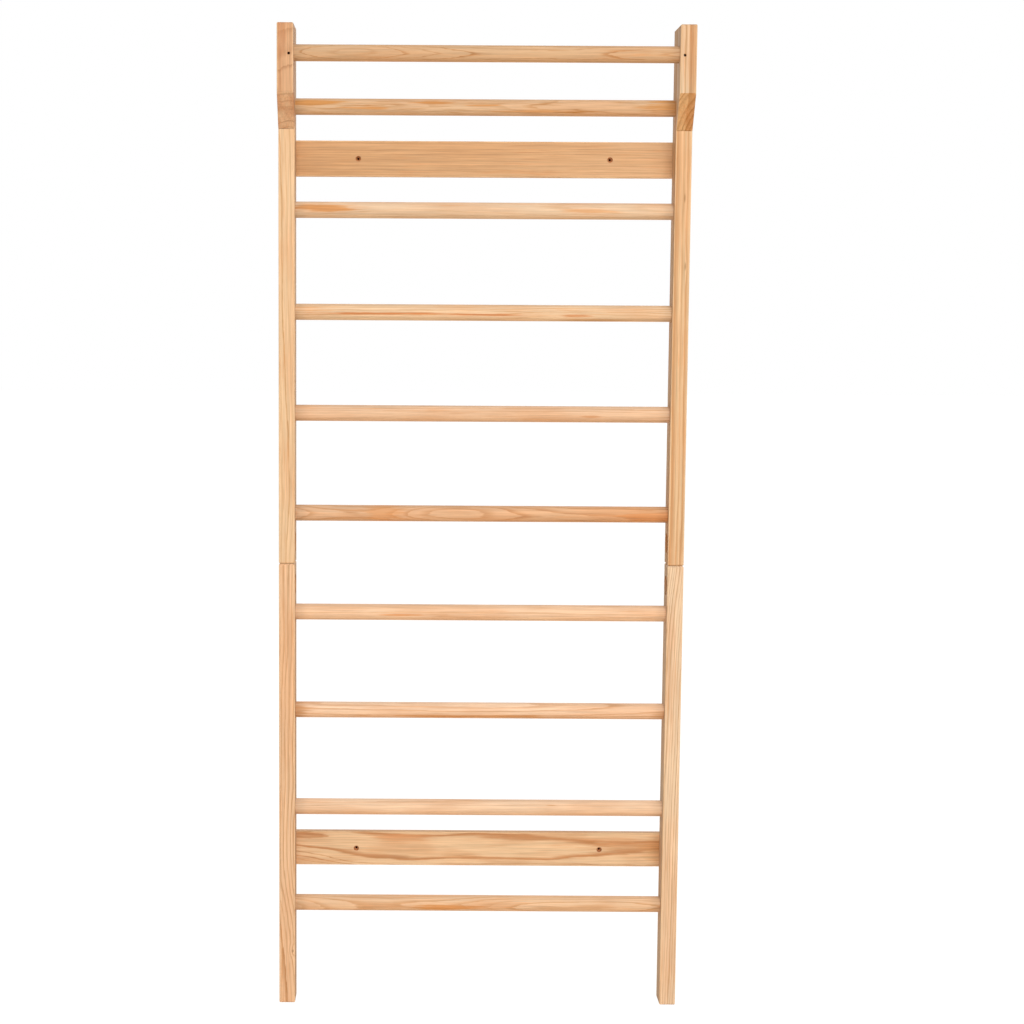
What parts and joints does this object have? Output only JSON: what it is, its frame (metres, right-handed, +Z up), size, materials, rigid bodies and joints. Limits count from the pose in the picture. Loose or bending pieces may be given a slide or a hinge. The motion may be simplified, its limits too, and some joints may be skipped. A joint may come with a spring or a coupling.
{
  "type": "wall bars",
  "caption": "Wooden wall bars with round rungs between two uprights, stepped heads holding a pull-up rung forward, and wall boards.",
  "frame": {"origin": "floor level, centred between the uprights and between the front of the heads and the back of the wall boards", "axes": "+X to the right seen from the room, +Y towards the wall, +Z up"},
  "size_m": [0.908, 0.128, 2.2],
  "materials": {
    "pine_lower_left": "clear satin lacquer on pine",
    "pine_upper_left": "clear satin lacquer on pine",
    "pine_head_left": "clear satin lacquer on pine",
    "pine_lower_right": "clear satin lacquer on pine",
    "pine_upper_right": "clear satin lacquer on pine",
    "pine_head_right": "clear satin lacquer on pine",
    "pine_rung": "clear satin lacquer on turned pine",
    "pine_board": "clear satin lacquer on pine",
    "zinc_steel": "bright zinc plate",
    "black_steel": "black phosphate",
    "beech_dowel": "bare beech"
  },
  "bodies": {
    "root": {"left_upright_lower": "pine_lower_left", "left_upright_upper": "pine_upper_left", "left_head_block": "pine_head_left", "right_upright_lower": "pine_lower_right", "right_upright_upper": "pine_upper_right", "right_head_block": "pine_head_right", "rung_1": "pine_rung", "rung_2": "pine_rung", "rung_3": "pine_rung", "rung_4": "pine_rung", "rung_5": "pine_rung", "rung_6": "pine_rung", "rung_7": "pine_rung", "rung_8": "pine_rung", "rung_9": "pine_rung", "top_rung": "pine_rung", "upper_wall_board": "pine_board", "lower_wall_board": "pine_board", "left_splice_rod": "zinc_steel", "right_splice_rod": "zinc_steel", "left_splice_nuts": "zinc_steel", "right_splice_nuts": "zinc_steel", "left_splice_washers": "zinc_steel", "right_splice_washers": "zinc_steel", "left_splice_dowels": "beech_dowel", "right_splice_dowels": "beech_dowel", "top_rung_screws": "black_steel", "upper_board_screws": "zinc_steel", "lower_board_screws": "zinc_steel"}
  },
  "joints": []
}
